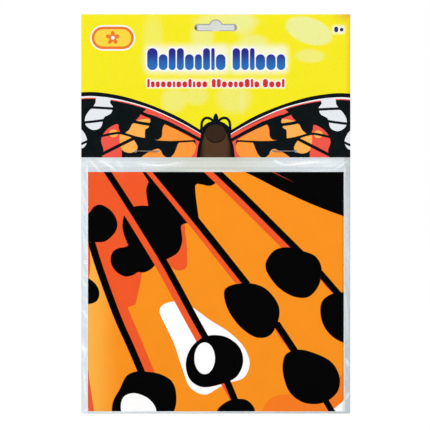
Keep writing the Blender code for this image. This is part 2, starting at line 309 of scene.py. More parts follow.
class Tree:
    """A material's nodes, with short ways to add and link them."""

    def __init__(self, name):
        self.material = bpy.data.materials.new(name)
        self.material.use_nodes = True
        self.nodes = self.material.node_tree.nodes
        self.shader = self.nodes["Principled BSDF"]
        self.place = self.nodes.new("ShaderNodeTexCoord").outputs["Object"]

    def link(self, source, target):
        self.material.node_tree.links.new(source, target)

    def fill(self, socket, value):
        if isinstance(value, bpy.types.NodeSocket):
            self.link(value, socket)
        elif isinstance(value, tuple) and len(value) == 3 and socket.type == "RGBA":
            socket.default_value = (*value, 1)
        else:
            socket.default_value = value

    def add(self, kind, inputs=(), **settings):
        node = self.nodes.new(f"ShaderNode{kind}")
        for key, value in settings.items():
            setattr(node, key, value)
        for key, value in dict(inputs).items():
            self.fill(node.inputs[key], value)
        return node

    def math(self, operation, a, b=0.0, clamp=False):
        node = self.add("Math", {0: a, 1: b}, operation=operation, use_clamp=clamp)
        return node.outputs[0]

    def noise(self, scale, detail=3.0, vector=None):
        where = self.place if vector is None else vector
        return self.add("TexNoise", {"Vector": where, "Scale": scale, "Detail": detail}).outputs[0]

    def ramp(self, value, low, high, out_low=0.0, out_high=1.0):
        inputs = {0: value, 1: low, 2: high, 3: out_low, 4: out_high}
        return self.add("MapRange", inputs, interpolation_type="SMOOTHSTEP").outputs[0]

    def mix(self, factor, a, b, blend="MIX"):
        node = self.add("Mix", data_type="RGBA", blend_type=blend)
        for socket, value in ((node.inputs[0], factor), (node.inputs[6], a), (node.inputs[7], b)):
            self.fill(socket, value)
        return node.outputs[2]

    def bump(self, height, strength, distance, before=None):
        inputs = {"Height": height, "Strength": strength, "Distance": distance}
        if before is not None:
            inputs["Normal"] = before
        return self.add("Bump", inputs).outputs[0]

    def stretched(self, x, y, z):
        """The piece's own coordinates, scaled along each axis."""
        inputs = {0: self.place, 1: (x, y, z)}
        return self.add("VectorMath", inputs, operation="MULTIPLY").outputs[0]

    def axis(self, name):
        return self.add("SeparateXYZ", {0: self.place}).outputs[name]

    def surface(self, colour, roughness, **constants):
        self.fill(self.shader.inputs["Base Color"], colour)
        self.fill(self.shader.inputs["Roughness"], roughness)
        for key, value in constants.items():
            self.fill(self.shader.inputs[key.replace("_", " ")], value)
        return self.material


def soft_spot(tree, x, z, across, up, turn, core):
    """1 in the core of a turned ellipse on the front and 0 at its edge, in millimetres."""
    angle = math.radians(turn)
    c, s = math.cos(angle) * 1000, math.sin(angle) * 1000
    shifted = tree.add("VectorMath", {0: tree.place, 1: (x * MM, 0, z * MM)}, operation="SUBTRACT")
    sides = [
        tree.add("VectorMath", {0: shifted.outputs[0], 1: axis}, operation="DOT_PRODUCT").outputs[1]
        for axis in ((c / across, 0, s / across), (-s / up, 0, c / up))
    ]
    far = tree.math("SQRT", tree.math("ADD", *(tree.math("MULTIPLY", side, side) for side in sides)))
    return tree.ramp(far, 1.0, core)


def finish_card(tree, colour):
    """Print on coated card: its fibres show faintly under a gloss varnish."""
    mottle = tree.ramp(tree.noise(900.0, 4.0), 0.35, 0.7, 0.98, 1.0)
    colour = tree.mix(1.0, colour, mottle, "MULTIPLY")
    fibres = tree.bump(tree.noise(420.0, 5.0), 0.05, 0.0003)
    waves = tree.bump(tree.noise(28.0, 2.0), 0.08, 0.002, fibres)
    roughness = tree.ramp(tree.noise(160.0), 0.3, 0.7, 0.26, 0.36)
    return tree.surface(colour, roughness, Normal=waves, Specular_IOR_Level=0.3, IOR=1.45)


def card_ink(name, colour):
    return finish_card(Tree(name), colour)


def title_blue():
    """Blue that runs from light at the words' feet to dark at their tops."""
    tree = Tree("card_title_blue")
    height = tree.ramp(tree.axis("Z"), -37 * MM, -24 * MM)
    return finish_card(tree, tree.mix(height, on_card((30, 110, 190)), on_card((38, 38, 140))))


def body_brown():
    """The printed body's brown, darker towards its sides."""
    tree = Tree("card_brown")
    side = tree.ramp(tree.math("ABSOLUTE", tree.axis("X")), 7.5 * MM, 12.0 * MM)
    return finish_card(tree, tree.mix(side, on_card((84, 57, 31)), on_card((44, 28, 17))))


def soft_box(tree, left, right, low, high, fade):
    """1 inside a box on the front, falling to 0 at fade outside it, in millimetres."""
    beyond = []
    for axis, start, end in (("X", left, right), ("Z", low, high)):
        off = tree.math("ABSOLUTE", tree.math("SUBTRACT", tree.axis(axis), (start + end) / 2 * MM))
        off = tree.math("MAXIMUM", tree.math("SUBTRACT", off, (end - start) / 2 * MM), 0.0)
        beyond.append(tree.math("MULTIPLY", off, off))
    return tree.ramp(tree.math("SQRT", tree.math("ADD", *beyond)), fade * MM, 0.0)


def yellow_ground():
    """The card's yellow, with its pale soft spots, and a little darker at its right edge."""
    tree = Tree("card_yellow")
    colour = on_card(YELLOW)
    for *place, strength in PALE_SPOTS:
        spot = tree.math("MULTIPLY", soft_spot(tree, *place), strength)
        colour = tree.mix(spot, colour, on_card(PALE_YELLOW))
    for *place, strength in TITLE_GLOW:
        glow = tree.math("MULTIPLY", soft_box(tree, *place), strength)
        colour = tree.mix(glow, colour, on_card((250, 250, 225)))
    edge = tree.ramp(tree.axis("X"), 97.0 * MM, 101.6 * MM, 0.0, 0.45)
    edge = tree.math("MAXIMUM", edge, tree.math("MULTIPLY", soft_spot(tree, 103, 6, 20, 13, 0, 0.0), 0.9))
    colour = tree.mix(edge, colour, on_card((226, 165, 45)))
    return finish_card(tree, colour)


def weave_height(tree, pitch):
    """A plain weave's relief in the front's plane."""
    turns = 2 * math.pi / (pitch * MM)
    warp = tree.math("SINE", tree.math("MULTIPLY", tree.axis("X"), turns))
    weft = tree.math("SINE", tree.math("MULTIPLY", tree.axis("Z"), turns))
    return tree.math("MULTIPLY", warp, weft)


def cloth_ink(name, colour, colour_left=None):
    """Print on thin polyester cloth. With colour_left, the colour runs from the panel's left."""
    tree = Tree(name)
    if colour_left:
        left = RIGHT_LOW[0] * MM
        across = tree.ramp(tree.axis("X"), left + 0.001, left + 0.026)
        colour = tree.mix(across, colour_left, colour)
    mottle = tree.ramp(tree.noise(60.0, 6.0), 0.3, 0.7, 0.975, 1.0)
    colour = tree.mix(1.0, colour, mottle, "MULTIPLY")
    weave = tree.bump(weave_height(tree, 0.55), 0.12, 0.00008)
    soft = tree.bump(tree.noise(45.0, 2.0), 0.15, 0.002, weave)
    return tree.surface(
        colour, 0.62, Normal=soft, Sheen_Weight=0.002, Sheen_Roughness=0.4, Specular_IOR_Level=0.05
    )


def plain_cloth(name, colour, pitch, roughness=0.75):
    """Woven tape or cloth with raised ribs across it, darker in the ribs' hollows and lighter on their
    crests as painted shade and highlight.
    """
    tree = Tree(name)
    ribs = weave_height(tree, pitch)
    # Painted shade in the ribs' hollows and painted highlight on their crests.
    rib_painted_light = tree.ramp(ribs, -1.0, 1.0, 0.8, 1.1)
    shade = tree.mix(1.0, colour, rib_painted_light, "MULTIPLY")
    normal = tree.bump(ribs, 0.5, 0.0001)
    return tree.surface(shade, roughness, Normal=normal, Sheen_Weight=0.1)


def grey_board():
    """Uncoated recycled board with darker flecks."""
    tree = Tree("grey_board")
    flecks = tree.ramp(tree.noise(700.0, 6.0), 0.55, 0.7)
    clouds = tree.ramp(tree.noise(60.0, 4.0), 0.3, 0.7)
    base = tree.mix(clouds, linear(176, 170, 160), linear(190, 185, 175))
    colour = tree.mix(flecks, base, linear(120, 112, 104))
    normal = tree.bump(tree.noise(300.0, 8.0), 0.3, 0.0002)
    return tree.surface(colour, 0.9, Normal=normal)


def raw_card():
    """The card's unprinted inside and its cut edges."""
    tree = Tree("raw_card")
    clouds = tree.ramp(tree.noise(300.0, 5.0), 0.3, 0.7)
    colour = tree.mix(clouds, linear(226, 222, 214), linear(240, 238, 232))
    normal = tree.bump(tree.noise(500.0, 6.0), 0.15, 0.0002)
    return tree.surface(colour, 0.8, Normal=normal)


def staple_steel():
    tree = Tree("staple_steel")
    drawn = tree.noise(1.0, 2.0, tree.stretched(300.0, 4000.0, 4000.0))
    roughness = tree.ramp(drawn, 0.3, 0.7, 0.22, 0.4)
    colour = tree.mix(tree.ramp(drawn, 0.3, 0.7), linear(150, 152, 152), linear(186, 188, 188))
    normal = tree.bump(drawn, 0.1, 0.00005)
    return tree.surface(colour, roughness, Metallic=0.7, Normal=normal)


def slot_shade(tree):
    """The film's tint across the hang slot, where the card's edge shades it, most at the left end."""
    # Painted shadow of the card's edge round the slot, deepest at its left end.
    bar = soft_box(tree, -SLOT_END, SLOT_END, SLOT_MIDDLE - 1.5, SLOT_MIDDLE + 1.5, 1.2)
    hump = soft_spot(tree, 0, -HUMP_RADIUS, HUMP_RADIUS, HUMP_RADIUS, 0, 0.75)
    shade = tree.mix(tree.math("MAXIMUM", bar, hump), SLOT_EDGE_PAINTED_SHADOW, TINT_SLOT)
    left_end = soft_spot(tree, -SLOT_END - 2.1, SLOT_MIDDLE - 0.7, 1.9, 2.6, 0, 0.2)
    return tree.mix(left_end, shade, SLOT_END_PAINTED_SHADOW)


def clear_film():
    """Thin polythene: a faint tint, greyer where nothing backs it, partly by its haze and partly as
    painted shade, darker at the right as painted shade, and with painted white highlights on its creases.
    """
    tree = Tree("clear_film")
    x = tree.axis("X")
    out = tree.math("ABSOLUTE", x)
    panel_top, panel_foot, panel_side, soft = -0.1152, -0.2958, 0.097, 0.0004
    strip = tree.ramp(tree.axis("Z"), panel_top - soft, panel_top + soft)
    tint = tree.mix(strip, FILM_TINT, tree.mix(tree.ramp(out, 0.01, 0.07), TINT_STRIP, TINT_STRIP_ENDS))
    foot = tree.ramp(tree.axis("Z"), panel_foot + soft, panel_foot - soft)
    margin = tree.ramp(out, panel_side - 2 * soft, panel_side + 2 * soft)
    margin = tree.math("MAXIMUM", margin, foot)
    # Margins and foot: greyer, and darker towards the right as painted shade.
    tint = tree.mix(margin, tint, tree.mix(tree.ramp(x, -0.09, 0.09), TINT_LEFT, TINT_RIGHT_SHADED))
    tint = tree.mix(soft_spot(tree, 0, -6, 20, 8, 0, 0.9), tint, slot_shade(tree))
    cloudy = tree.ramp(tree.noise(45.0, 5.0), 0.35, 0.75, 1.0, 0.97)
    bare = tree.math("MAXIMUM", strip, margin)
    tint = tree.mix(bare, tint, tree.mix(1.0, tint, cloudy, "MULTIPLY"))
    fine = tree.bump(tree.noise(1.0, 3.0, tree.stretched(240.0, 240.0, 60.0)), 0.2, 0.0006)
    clear = tree.add("BsdfTransparent", {"Color": tint}).outputs[0]
    gloss = tree.add(
        "BsdfGlossy", {"Color": (1.0, 1.0, 1.0), "Roughness": 0.12, "Normal": fine}
    ).outputs[0]
    # Both its faces reflect the same share, more at a glance than square on.
    glance = tree.add("LayerWeight", {"Blend": 0.5, "Normal": fine}).outputs["Facing"]
    shine = tree.math("MULTIPLY_ADD", tree.math("POWER", glance, 5.0), 0.85)
    shine.node.inputs[2].default_value = FILM_MIRROR
    smooth_film = tree.add("MixShader", {0: shine, 1: clear, 2: gloss}).outputs[0]
    # The white diffuse mixed in on the creases is painted highlight.
    crease = tree.add("Attribute", attribute_name="crease").outputs["Fac"]
    white = tree.add("BsdfDiffuse", {"Color": (0.85, 0.86, 0.86)}).outputs[0]
    mixed = tree.add("MixShader", {0: crease, 1: smooth_film, 2: white}).outputs[0]
    output = tree.nodes["Material Output"]
    tree.link(mixed, output.inputs["Surface"])
    tree.nodes.remove(tree.shader)
    return tree.material


# The light on the front, which the inks' colours are divided by to come out as printed.
LIGHT = 1.44
FILM_TINT = (0.94, 0.955, 0.95)
# The bare film's tints are greyer than over the print: partly the film's own haze and partly painted
# shade.
TINT_STRIP = (0.825, 0.85, 0.80)
TINT_STRIP_ENDS = (0.85, 0.89, 0.915)
TINT_LEFT = (0.86, 0.91, 0.935)
# The right margin's tint is darker than the left's as painted shade.
TINT_RIGHT_SHADED = (0.745, 0.782, 0.8)
TINT_SLOT = (0.88, 0.897, 0.868)
# Painted shadow of the card's edge on the film round the slot, darkest at its left end.
SLOT_EDGE_PAINTED_SHADOW = (0.62, 0.63, 0.6)
SLOT_END_PAINTED_SHADOW = (0.4, 0.38, 0.3)
FILM_MIRROR = 0.045
YELLOW = (246, 235, 10)
PALE_YELLOW = (238, 240, 150)

# Soft pale spots on the card: middle, half sizes, turn, where the full colour starts, strength.
PALE_SPOTS = (
    (70.4, -8.7, 20, 10.8, -18, 0.8, 1.0),
    (71.2, -27.6, 13.5, 6.2, -3, 0.6, 0.6),
    (-10.4, -12.5, 11, 12, 0, 0.5, 0.7),
    (7.7, -1.5, 30, 8, 0, 0.5, 0.75),
    (21.0, -3.0, 12, 13, 0, 0.4, 0.7),
    (28.0, -17.5, 15, 8, 0, 0.4, 0.7),
    (-47.4, -14.0, 11, 26, 0, 0.3, 0.35),
    (-1.0, -30.0, 62, 14, 0, 0.6, 0.7),
    (-31.6, -60.8, 12, 12, 0, 0.5, 0.55),
    (-15.0, -57.8, 12, 9, 0, 0.5, 0.5),
    (13.7, -59.3, 17, 15, 0, 0.5, 0.5),
    (19.8, -62.3, 3, 14, 0, 0.2, 0.6),
)

# The white glow round the printed words: left, right, low, high, how far it fades, strength.
TITLE_GLOW = (
    (-49, 5.0, -36.5, -24, 8.0, 0.8),
    (15.5, 50, -36.5, -24, 8.0, 0.8),
    (-50.5, 50.5, -50, -46.5, 3.6, 0.45),
    (89.8, 95.5, -9, -6.5, 3.5, 0.9),
)


def on_card(colour):
    return tuple(c / LIGHT for c in linear(*colour))


def under_film(colour):
    """As on_card, for print that is lit and seen through the film."""
    passed = [(t * (1 - FILM_MIRROR)) ** 2 * LIGHT for t in FILM_TINT]
    return tuple(min(c / p, 0.98) for c, p in zip(linear(*colour), passed))


# --- The header card's print ---------------------------------------------------------------


def both(ink, shape):
    return [(ink, shape), (ink, mirrored(shape))]


def right_copy(shape):
    """A left wing shape mirrored to the right, where the printed wing hangs a little lower."""
    drop = np.clip(0.0145 * (-shape[:, 0] - 32), 0, 0.95)
    return mirrored(shape) - np.stack([0 * drop, drop], 1)


def card_wing():
    """The butterfly's left wing across the card's lower half, in card millimetres."""
    top = [(-104, -55.4), (-95, -55), (-87.5, -55.4), (-72.4, -57.8), (-57.3, -62), (-42.2, -67.6)]
    top += [(-27, -74.6), (-13.4, -82.6), (-10, -84.8)]
    under_black = [(-104, -58.7), (-95, -58.1), (-80, -59.4), (-64.8, -62.6), (-49.7, -67.2)]
    under_black += [(-34.6, -73.8), (-19.5, -81.6), (-10, -87.3)]
    under_white = [(-104, -60.0), (-95, -59.3), (-80, -60.5), (-64.8, -63.4), (-49.7, -68.0)]
    under_white += [(-34.6, -74.5), (-19.5, -82.2), (-10, -87.9)]
    under_red = [(x, z - 0.8) for x, z in under_white]
    return [
        ("black", outline(top, [(-10, -108), (-104, -108)])),
        ("red", outline(under_white, under_red[::-1])),
        ("red", outline([(-51.5, -67.2), (-10, -87.8)], [(-11, -91), (-19.5, -85.6)],
                        [(-34.6, -77.6), (-49.7, -72), (-56, -71)])),
        ("white", outline(under_black, under_white[::-1])),
    ]


def card_cells():
    """The pale, red and orange cells between the wing's black veins, and then the veins."""
    cells = {
        "pale": [
            [(-90.0, -59.4), (-79.4, -60.0), (-79.9, -63.1), (-77.7, -66.4), (-84, -67), (-92.6, -66.9),
             (-90.9, -63.4)],
            [(-93.5, -67.6), (-78.2, -68.4), (-79.5, -71.4), (-84.1, -74), (-85.4, -77),
             (-85.8, -79.7), (-87.6, -82.4), (-92.8, -83.7), (-98.1, -80.1), (-98.8, -75.2),
             (-96.4, -70.2)],
            [(-104, -82), (-99.9, -85), (-97.2, -91), (-97.6, -94), (-100.3, -97.4), (-104, -97)],
        ],
        "red": [
            [(-61, -77.4), (-58, -74), (-56.3, -71.4), (-50.3, -73), (-49.6, -75.6), (-51, -78.4)],
            [(-85.2, -87.2), (-82.9, -84.2), (-79.9, -81.6), (-73.9, -79.3), (-73.3, -82.7),
             (-72.2, -85.4), (-71.8, -91), (-71, -99.3), (-72, -107), (-85.6, -107), (-84.8, -98.6),
             (-86.6, -92)],
        ],
        "pale_orange": [
            [(-61, -77.6), (-57, -75.9), (-49.7, -75.7), (-49.8, -78.3), (-56, -79)],
            ellipse(-77.3, -86.3, 3.4, 2.9),
            [(-62.2, -78.6), (-51.2, -79.7), (-50.6, -81.8), (-53.1, -83.1), (-54.2, -90.8),
             (-61, -89), (-68.4, -86.5), (-65.4, -83.5)],
            [(-72, -86.6), (-67.5, -87.4), (-62.9, -90.3), (-59.1, -96.3), (-60, -99.2),
             (-65.6, -101), (-71, -98.4)],
        ],
        "orange": [
            [(-58.5, -107), (-52.7, -101.6), (-48.2, -99.3), (-43.7, -97.8), (-41.4, -99.3),
             (-39.9, -102.4), (-34, -107)],
            [(-37.6, -78.9), (-28.4, -83.4), (-20.2, -88.4), (-14.6, -91.9), (-40, -92.2),
             (-46.8, -90.8), (-43.9, -91.2), (-41, -89), (-40, -82)],
            [(-27.8, -93.3), (-16.5, -93.1), (-14.9, -96.3), (-15.6, -101.6), (-18.6, -107),
             (-35.8, -107), (-31.6, -101.6), (-29.3, -96.3)],
        ],
    }
    shapes = [(ink, blob(*points)) for ink, some in cells.items() for points in some]
    shapes.append(("red", outline([(-30.1, -82.7), (-11.5, -91.4)], [(-14.8, -107), (-21, -107)],
                                  [(-15.9, -100.8), (-14.9, -96.3), (-15.4, -91.9)],
                                  [(-20.2, -88.7), (-30.1, -83.2)])))
    veins = (
        (1.9, (-95, -66.6), (-85, -67.1), (-76, -67.7)),
        (1.9, (-101, -78.2), (-92, -77.3), (-84, -76.2)),
        (1.8, (-104, -95.4), (-99.5, -93.4), (-96, -91.8)),
        (1.8, (-88, -88.6), (-73.9, -86), (-70.1, -86.5), (-60, -89.4), (-50, -91.2)),
        (2.4, (-86, -102), (-73.8, -95.9), (-61.5, -89.8)),
        (2.3, (-63, -77.1), (-56, -78.6), (-49, -79.6)),
        (2.5, (-57.5, -70.3), (-50.5, -73.3), (-37.6, -78.5), (-22.5, -85.6), (-10.5, -92)),
        (1.4, (-46.3, -92.2), (-33.8, -92.7), (-15.5, -91.9)),
    )
    return shapes + [("black", stroke(line, width)) for width, *line in veins]


def card_body():
    """The butterfly's dark head, brown body and antennae, in front of both wings."""
    shapes = [
        ("black", outline([(-11.2, -84.5), (-11.7, -90), (-13.4, -96), (-14.8, -107)],
                          [(14.8, -107), (13.4, -96), (11.7, -90), (11.2, -84.5)])),
        ("black", ellipse(0, -85.6, 11.2, 9)),
        ("brown", outline([(-8.6, -86), (-9.0, -89.5), (-10.3, -93), (-11.1, -97), (-12.5, -107)],
                          [(12.5, -107), (11.1, -97), (10.3, -93), (9.0, -89.5), (8.6, -86)])),
        ("darkest_brown", ellipse(-0.2, -86.5, 7.9, 6.9)),
        ("dark_brown", ellipse(-0.2, -85.7, 7.6, 6.3)),
        ("black", blob((0, -70.8), (-1.3, -72.3), (-2.0, -75), (0, -78.4), (2.0, -75), (1.3, -72.3))),
    ]
    antenna = stroke([(-11.0, -84.5), (-10.8, -81.5), (-10.6, -78.6), (-10.0, -76.6), (-8.6, -75.0),
                      (-6.6, -74.4), (-4.6, -74.8), (-2.9, -75.9), (-1.6, -77.4)], 2.0)
    return shapes + both("black", antenna)


def greeked_line(left, right, low, high, widths, tall):
    """A word as plain rounded bars: how wide each is, and which ones stand to the full height."""
    bars = []
    gap = 0.9
    unit = (right - left - gap * (len(widths) - 1)) / sum(widths)
    x = left
    for number, width in enumerate(widths):
        top = high if number in tall else low + 0.72 * (high - low)
        bars.append(pill(x, x + width * unit, low, top))
        x += width * unit + gap
    return bars


def card_lettering():
    """Plain bars where the card's words are, with no letters in them."""
    words = (
        ("title_blue", -51.8, 7.3, -38.3, -21.7, (1.2, 1, 0.8, 0.8, 1, 0.8, 0.8, 0.4, 1.1),
         (0, 2, 3, 6, 7)),
        ("title_blue", 12.7, 52.4, -38.3, -21.7, (0.8, 0.8, 0.5, 1, 1, 0.9), (0, 1, 2)),
        ("tag_red", -51.7, -6.5, -51.4, -45, (0.5, 0.8, 0.8, 1, 1, 0.5, 1, 1, 0.7, 0.5, 1, 1), (0, 8)),
        ("tag_red", -3, 32.8, -51.4, -45, (0.8, 0.8, 1, 1, 0.7, 1, 1, 0.5, 1), (0, 1, 6, 7)),
        ("tag_red", 35.5, 51.9, -51.4, -45, (1, 1, 1, 0.5), (0, 3)),
    )
    shapes = []
    for ink, left, right, low, high, widths, tall in words:
        bars = greeked_line(left, right, low, high, widths, tall)
        margin = np.full(2, 1.1 if ink == "title_blue" else 0.7)
        for bar in bars:
            (x0, z0), (x1, z1) = bar.min(0) - margin, bar.max(0) + margin
            shapes.append(("white", pill(x0, x1, z0, z1)))
        shapes += [(ink, bar) for bar in bars]
    return shapes


def card_marks():
    """A plain badge with a flower on it at the left, and two navy marks at the right."""
    x, z = -77.8, -14.0
    shapes = [("white", pill(x - 17.0, x + 17.0, z - 9.6, z + 9.6))]
    shapes += [("badge_orange", pill(x - 15.9, x + 15.9, z - 8.5, z + 8.5))]
    shapes += [("badge_yellow", pill(x - 13.9, x + 13.9, z - 6.5, z + 6.5))]
    for turn in range(0, 360, 72):
        angle = math.radians(turn + 90)
        petal = ellipse(x + 3.0 * math.cos(angle), z + 3.0 * math.sin(angle), 2.3, 1.5, turn + 90)
        shapes.append(("badge_orange", petal))
    shapes.append(("white", ellipse(x, z, 1.4, 1.4)))
    shapes.append(("navy", pill(89.4, 92.4, -9.8, -5.5)))
    shapes.append(("navy", ellipse(95.0, -7.8, 1.4, 1.4)))
    return shapes


def slot_shape():
    half = SLOT_HEIGHT / 2
    shoulder = math.degrees(math.asin((SLOT_MIDDLE + half + HUMP_RADIUS) / HUMP_RADIUS))
    parts = (
        ellipse(SLOT_END, SLOT_MIDDLE, half, half, 0, -90, 90, 12),
        ellipse(0, -HUMP_RADIUS, HUMP_RADIUS, HUMP_RADIUS, 0, shoulder, 180 - shoulder, 20),
        ellipse(-SLOT_END, SLOT_MIDDLE, half, half, 0, 90, 270, 12),
    )
    return np.concatenate(parts)


def staple_hole_shapes(radius):
    return [ellipse(x, STAPLE_Z, radius, radius, count=16) for x in STAPLE_LEGS]


def card_back_print(fold):
    """Guessed: plain yellow with a white panel of greeked lines, upside down on the flat sheet."""
    low = 2 * fold - CARD_LOW[2]
    shapes = [("back_yellow", rectangle((CARD_LOW[0], fold), (CARD_HIGH[0], low)))]
    shapes.append(("white", pill(-72, 72, low - 74, low - 22, 4)))
    for row in range(7):
        z = low - 66 + 6 * row
        end = 62 if row else 20
        shapes.append(("back_grey", pill(-62, end, z, z + 2.2)))
    return shapes


def card_place(points):
    """Puts the flat card's (x, height) points on its folded outer face, front panel first."""
    outside = CARD_HIGH[1]
    start = CARD_HIGH[2] - outside
    x, h = points[:, 0], points[:, 1]
    turn = np.clip((h - start) / outside, 0, math.pi)
    past = np.maximum(h - start - math.pi * outside, 0)
    up = np.where(h < start, h, start + outside * np.sin(turn) - past)
    y = np.where(h < start, -outside, -outside * np.cos(turn))
    depth, radius = 0.12, 1.3
    dents = np.zeros(len(points))
    for leg in STAPLE_LEGS:
        dents += depth * np.exp(-((np.hypot(x - leg, h - STAPLE_Z) / radius) ** 2))
    return np.stack([x, y + dents, up], 1)


def header_card(inks):
    outside = CARD_HIGH[1]
    start = CARD_HIGH[2] - outside
    end = start + math.pi * outside + (start - CARD_LOW[2])
    low = (CARD_LOW[0], CARD_LOW[2])
    high = (CARD_HIGH[0], end)
    fold = start + math.pi * outside / 2
    ys = np.concatenate([
        even(CARD_LOW[2], start, 6.0),
        np.linspace(start, start + math.pi * outside, 9)[1:-1],
        even(start + math.pi * outside, end, 8.0),
    ])
    holes = [slot_shape(), *staple_hole_shapes(STAPLE_HOLE)]
    holes += [hole * (1, -1) + (0, 2 * fold) for hole in holes]
    print_list = [("yellow", rectangle(low, high))]
    for ink, shape in [*card_wing(), *card_cells()]:
        print_list += [(ink, shape + (0, 0.2)), (ink, right_copy(shape + (0, 0.2)))]
    print_list += card_body() + card_lettering() + card_marks() + card_back_print(fold)
    # Round each staple hole: a pale ring in the raw card's colour, and inside it a black ring that is
    # painted shadow in the dent.
    print_list += [("raw_card", dent) for dent in staple_hole_shapes(STAPLE_HOLE + 0.5)]
    print_list += [("black", dent) for dent in staple_hole_shapes(STAPLE_HOLE + 0.35)]
    xs = even(low[0], high[0], 8.0)
    card = printed_sheet("printed_card", low, high, [(xs, ys)], print_list, holes, card_place, inks)
    thicken(card, CARD_THICK, inks["raw_card"])
    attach(card, "header")
    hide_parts("header_card")
    return card


# --- The wings' print, in millimetres right and down from the front panel's top left corner ---

VEIN_1 = [(2.7, 53), (9.4, 74), (23.4, 111.8), (32, 131), (41.5, 153.2)]
VEIN_2 = [(11.4, -5), (25.1, 15.8), (31.8, 26.4), (40.5, 40.2), (56.1, 65.7), (60.9, 74),
          (81.3, 111.8), (91, 129.2)]
VEIN_3 = [(47.5, -5), (84.7, 40.6), (119, 83.8)]
VEIN_4 = [(92.2, -5), (104.0, 6.1), (116.0, 17.4), (160.5, 61.5)]


def wing_grounds():
    """The wing's orange grounds, lowest first."""
    return [
        ("pale_orange", outline([(-9, 58), (5, 58)], VEIN_1, [(30, 153), (20, 172), (19, 184)],
                                [(-9, 184), (-9, 120)])),
        ("red_orange", outline([(-9, -5), (41.5, -5)], [(48, 10), (52, 26), (50, 60)],
                               [(45, 75), (40.9, 76.1)],
                               [(39.7, 84.2), (37.9, 92), (35.5, 100.4), (32.8, 101.1),
                                (30.4, 102.3)],
                               [(33.5, 110.3), (42, 130.3), (50.5, 151.1)], VEIN_1[::-1],
                               [(-2, 52), (-9, 52)])),
        ("red_orange", outline([(-2, 52), (0, 52.6), (1.9, 62.7), (0.8, 79.5), (-2, 82)])),
        ("red_orange", outline([(-2, 140), (0, 148)], [(5.4, 184), (-2, 184)])),
        ("red_orange", outline([(66, 38), (72.5, 38.6), (73.6, 46.4), (74.9, 58.7), (74.4, 71.8),
                                (72.1, 73.8), (67.4, 74.2), (58, 68)])),
        ("deep_orange", outline([(129.5, 186), (134, 175), (138.6, 170.4), (144, 168.2),
                                 (150.2, 167.7)],
                                [(189.5, 155.7), (191.8, 152.6), (196, 146)],
                                [(196, 170), (184, 179.9)])),
        ("white", outline([(185, 179.1), (200, 166.8)],
                          [(200, 166.8), (210, 168), (219, 176), (222, 190)], [(187, 190)])),
        ("white", blob((65.1, 97.8), (56.8, 100.2), (54.2, 104.5), (59.7, 118), (65.1, 129.5),
                       (71.3, 148), (77.5, 162.7), (88.3, 167.9), (100.2, 161.9),
                       (107.8, 158.7), (117.8, 155), (122.1, 144.9), (118.6, 133.4),
                       (107.8, 121.8), (92.4, 111.8), (76, 100.5))),
    ]


